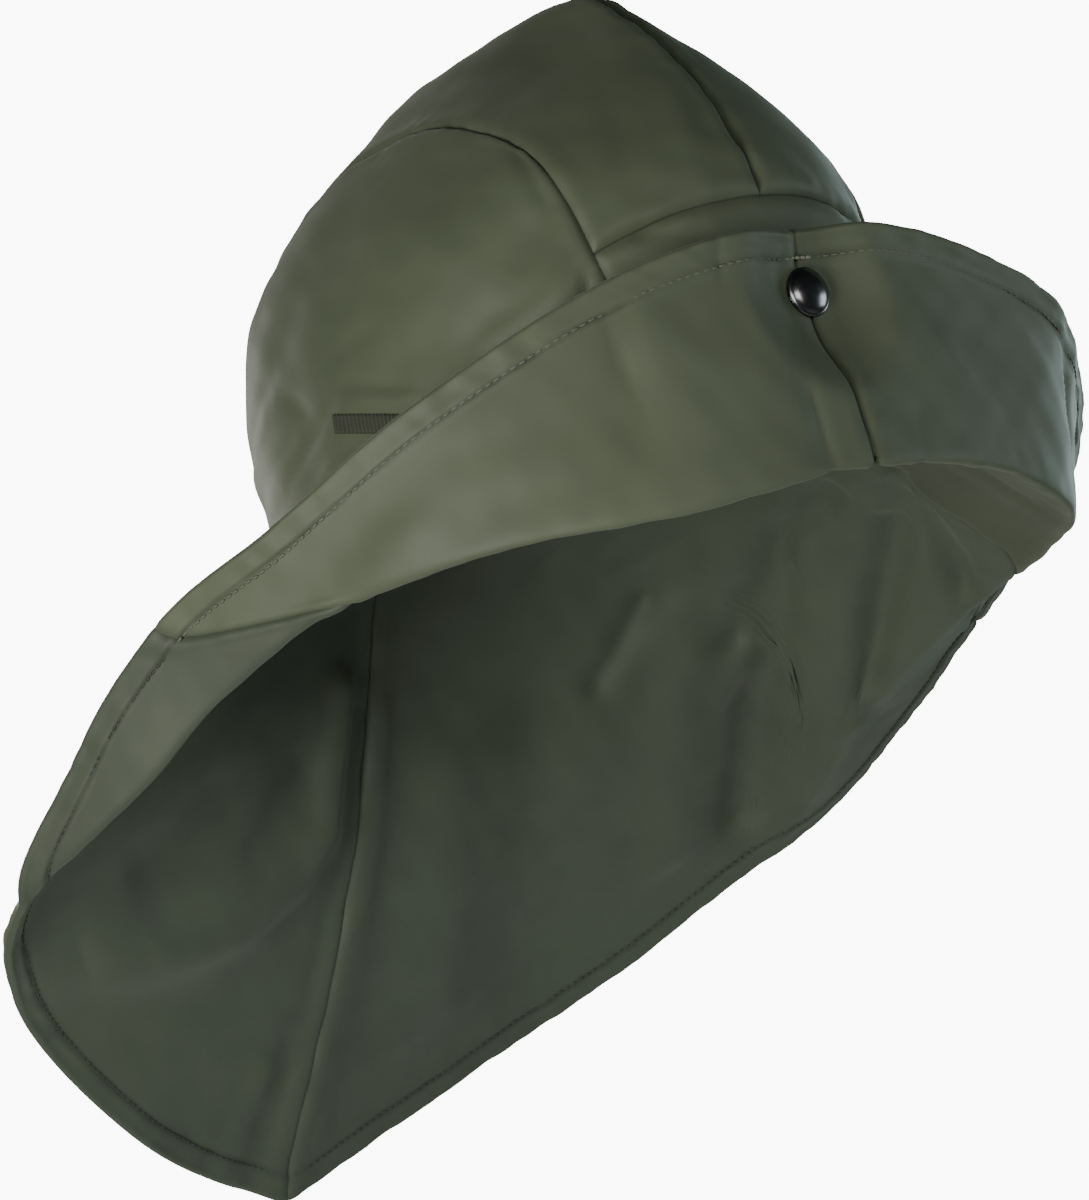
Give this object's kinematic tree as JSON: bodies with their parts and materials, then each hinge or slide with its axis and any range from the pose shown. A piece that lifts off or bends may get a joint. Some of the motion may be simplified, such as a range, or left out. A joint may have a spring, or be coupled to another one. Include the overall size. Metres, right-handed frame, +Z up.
{
  "type": "sou'wester rain hat",
  "caption": "Soft waterproof hat with a seamed crown, a front brim turned up and held by a press stud, and a long neck flap hanging at the back",
  "frame": {"origin": "centre of the head opening, in the plane of the seam between crown and brim", "axes": "+Z up as worn, -Y to the wearer's front, +X to the wearer's left"},
  "size_m": [0.3348, 0.3279, 0.3096],
  "materials": {
    "cloth": "dark olive coated rain cloth, smooth with a soft sheen",
    "band": "black woven head band",
    "elastic": "ribbed olive elastic",
    "stud": "black nickel, polished"
  },
  "bodies": {
    "root": {"crown_side_right": "cloth", "crown_side_left": "cloth", "crown_top_right": "cloth", "crown_top_left": "cloth", "crown_front_band": "cloth", "brim_front_right": "cloth", "brim_front_left": "cloth", "neck_flap_right": "cloth", "neck_flap_left": "cloth", "head_band": "band", "side_elastic": "elastic", "stud_cap": "stud", "stud_socket": "stud", "stud_post": "stud"}
  },
  "joints": []
}
